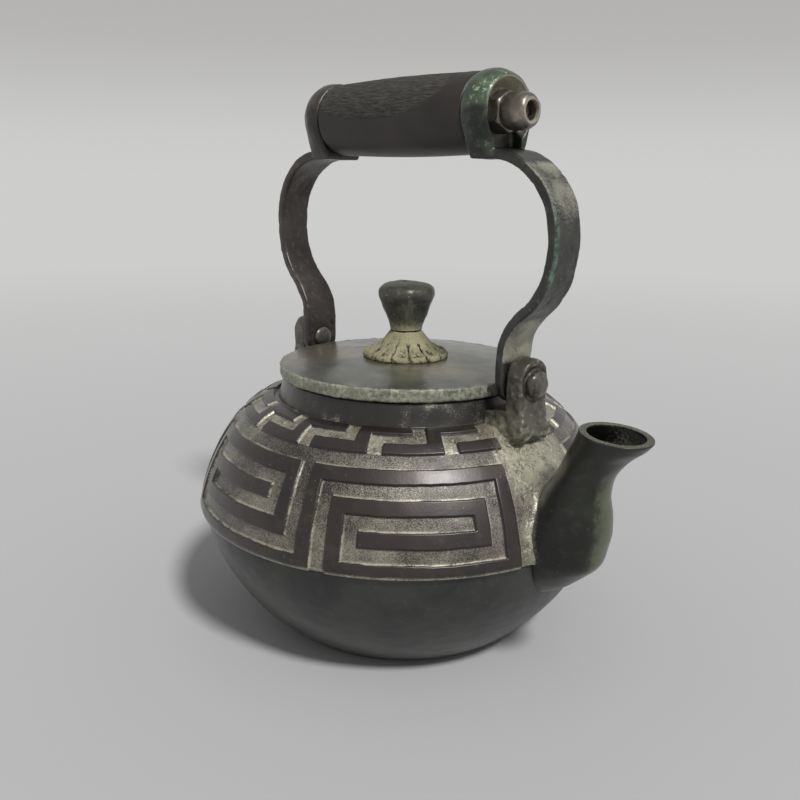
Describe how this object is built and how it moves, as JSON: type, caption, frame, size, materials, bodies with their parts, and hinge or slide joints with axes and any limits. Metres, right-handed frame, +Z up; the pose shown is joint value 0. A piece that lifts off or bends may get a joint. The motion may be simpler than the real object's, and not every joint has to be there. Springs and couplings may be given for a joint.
{
  "type": "loop-handled teapot",
  "caption": "Squat cast bronze teapot with a squared-spiral relief, an S-shaped spout, a lift-off lid with a petalled knob seat and a swinging loop handle with a wooden grip.",
  "frame": {"origin": "middle of the flat base, on the surface it stands on", "axes": "+Z up, +X towards the spout"},
  "size_m": [0.1744, 0.1484, 0.1915],
  "materials": {
    "bowl_bronze": "cast bronze, dark grey-green patina, satin",
    "shell_bronze": "cast bronze, brown patina on the bars and pale dust in the ground",
    "spout_bronze": "cast bronze, near-black green patina, satin",
    "lug_bronze": "cast bronze, dark grey, rough at the foot",
    "rivet_bronze": "hammered bronze rivet, grey-brown",
    "lid_bronze": "cast bronze, grey-green with dark patches",
    "rosette_bronze": "cast bronze under pale greenish dust",
    "knob_bronze": "cast bronze, dark olive, paler at the neck",
    "arm_bronze": "bronze strap, grey with verdigris at the edges",
    "grip_wood": "dark turned hardwood, worn and grainy on top",
    "rod_steel": "browned steel, smooth"
  },
  "bodies": {
    "pot": {"lower_bowl": "bowl_bronze", "upper_shell": "shell_bronze", "spout": "spout_bronze", "lug_front": "lug_bronze", "lug_rear": "lug_bronze", "pivot_pin_front": "rivet_bronze", "pivot_pin_rear": "rivet_bronze"},
    "lid": {"lid_plate": "lid_bronze", "knob_seat": "rosette_bronze", "knob": "knob_bronze", "knob_stud": "rivet_bronze", "stud_washer": "rivet_bronze"},
    "handle": {"arm_front": "arm_bronze", "arm_rear": "arm_bronze", "grip": "grip_wood", "tie_rod": "rod_steel", "hex_nut": "rod_steel", "cap_nut": "rod_steel"}
  },
  "joints": [
    {"name": "handle_swing", "type": "hinge", "parent": "pot", "child": "handle", "pos_m": [0, 0, 0.097], "axis": [1, 0, 0], "range_deg": [-100, 100]},
    {"name": "lid_lift", "type": "slide", "parent": "pot", "child": "lid", "axis": [0, 0, 1], "range_m": [0, 0.036]}
  ]
}
